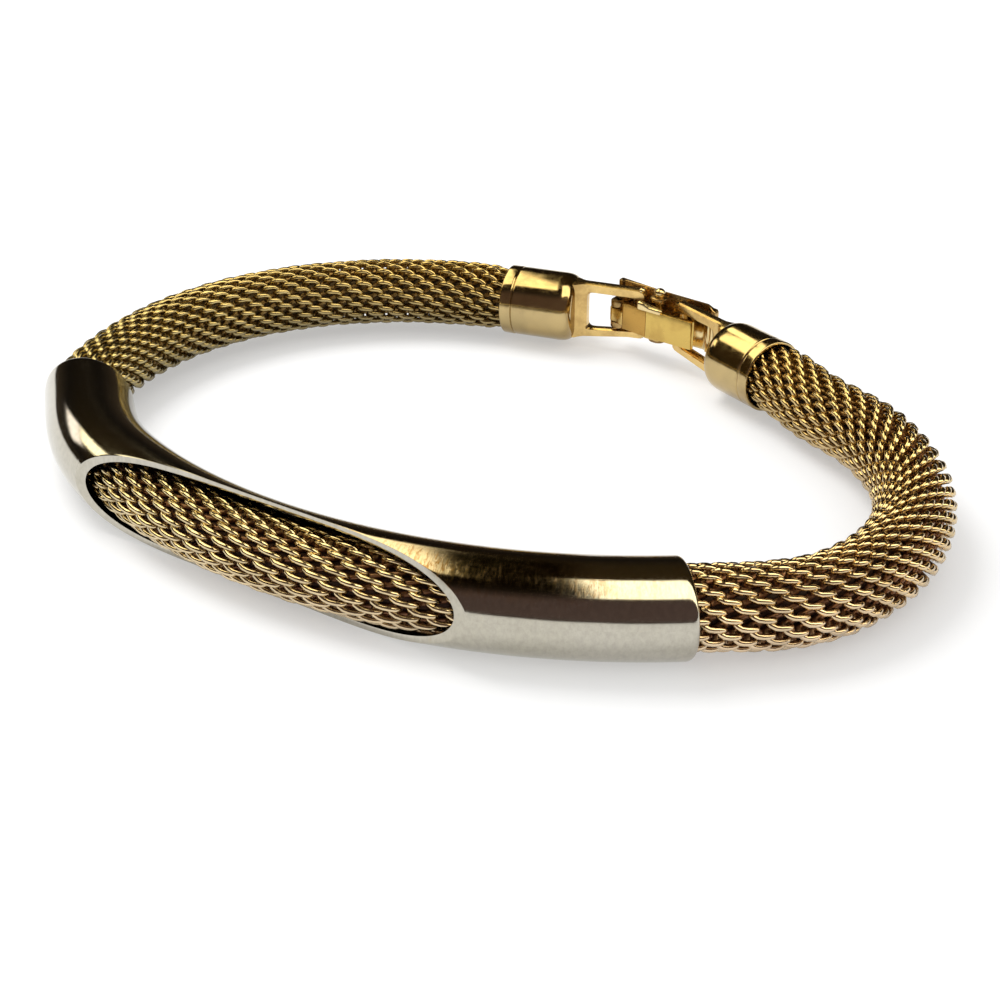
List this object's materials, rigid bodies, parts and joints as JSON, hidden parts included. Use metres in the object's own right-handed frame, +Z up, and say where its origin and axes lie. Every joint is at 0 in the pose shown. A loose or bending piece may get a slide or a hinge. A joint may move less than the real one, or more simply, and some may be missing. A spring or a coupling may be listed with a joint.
{
  "type": "mesh bracelet",
  "caption": "Tubular woven mesh bracelet with a curved metal sleeve, an eye-shaped window over the mesh, barrel end caps and a fold-over clasp.",
  "frame": {"origin": "centre of the bracelet's box on the surface that it lies on", "axes": "+X across the loop's longer side, +Y towards the clasp side, +Z up, along the wrist's axis"},
  "size_m": [0.0707, 0.062, 0.0072],
  "materials": {
    "gold_mesh": "gold-plated woven wire with dark recesses",
    "worn_sleeve": "polished pale gold plating worn to silver tone, fine scratches",
    "gold_cap": "polished yellow gold plating",
    "gold_clasp": "gold plating with brown tarnish in the corners",
    "gold_pin": "bright gold plating",
    "gold_lever": "bright gold plating"
  },
  "bodies": {
    "bracelet": {"mesh_rope": "gold_mesh", "sleeve": "worn_sleeve", "end_cap_a": "gold_cap", "end_cap_b": "gold_cap", "clasp_cover": "gold_clasp", "hinge_pin": "gold_pin", "catch_pin": "gold_pin"},
    "lever": {"clasp_lever": "gold_lever"}
  },
  "joints": [
    {"name": "lever_hinge", "type": "hinge", "parent": "bracelet", "child": "lever", "pos_m": [0.01271, 0.0229, 0.0036], "axis": [0, 0, -1], "range_deg": [0, 100]}
  ]
}
